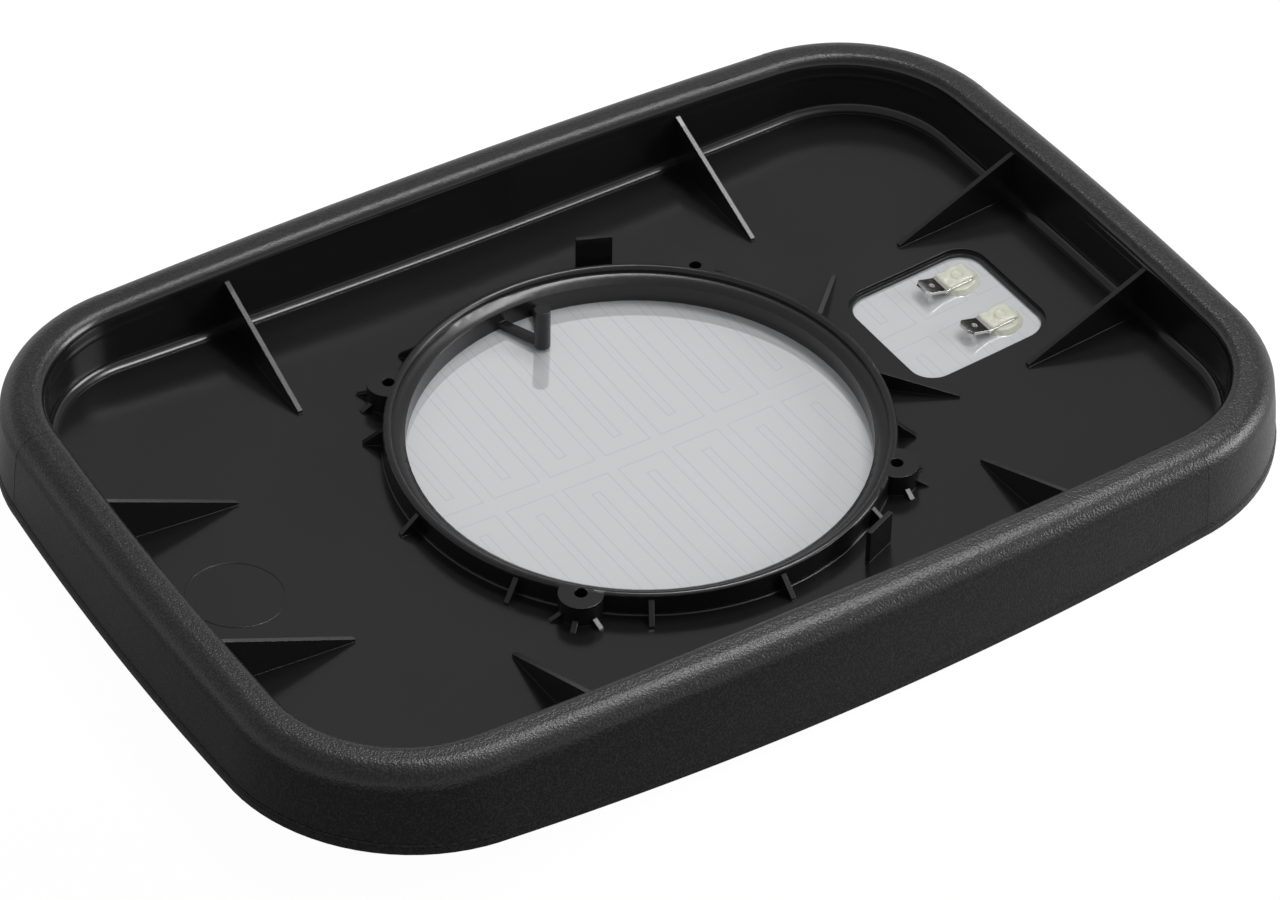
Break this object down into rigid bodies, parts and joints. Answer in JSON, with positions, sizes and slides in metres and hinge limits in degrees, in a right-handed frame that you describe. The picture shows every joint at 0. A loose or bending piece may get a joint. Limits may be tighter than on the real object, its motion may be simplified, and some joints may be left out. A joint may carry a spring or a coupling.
{
  "type": "mirror glass",
  "caption": "Convex mirror glass bonded to a heater foil and held in a moulded back tray with a collar, screw bosses, stiffening gussets and raised blade terminals for the heater.",
  "frame": {"origin": "the foremost point of the glass, at the middle of its convex front", "axes": "+Z points to the back, the side with the collar and the terminals; +X along the longer side, towards the blade terminals; +Y along the shorter side, towards the cable peg"},
  "size_m": [0.308, 0.2164, 0.031],
  "materials": {
    "holder": "black moulded plastic, satin inside, fine grain on the outer skirt",
    "mirror_glass": "silvered convex glass, polished front",
    "heater_foil": "pale silver film with fine printed tracks",
    "terminal": "tinned, smooth",
    "rivet": "tinned, smooth",
    "sealant": "translucent pale, soft"
  },
  "bodies": {
    "root": {"holder": "holder", "mirror_glass": "mirror_glass", "heater_foil": "heater_foil", "blade_terminal_a": "terminal", "blade_terminal_b": "terminal", "rivet_a": "rivet", "rivet_b": "rivet", "sealant_a": "sealant", "sealant_b": "sealant"}
  },
  "joints": []
}
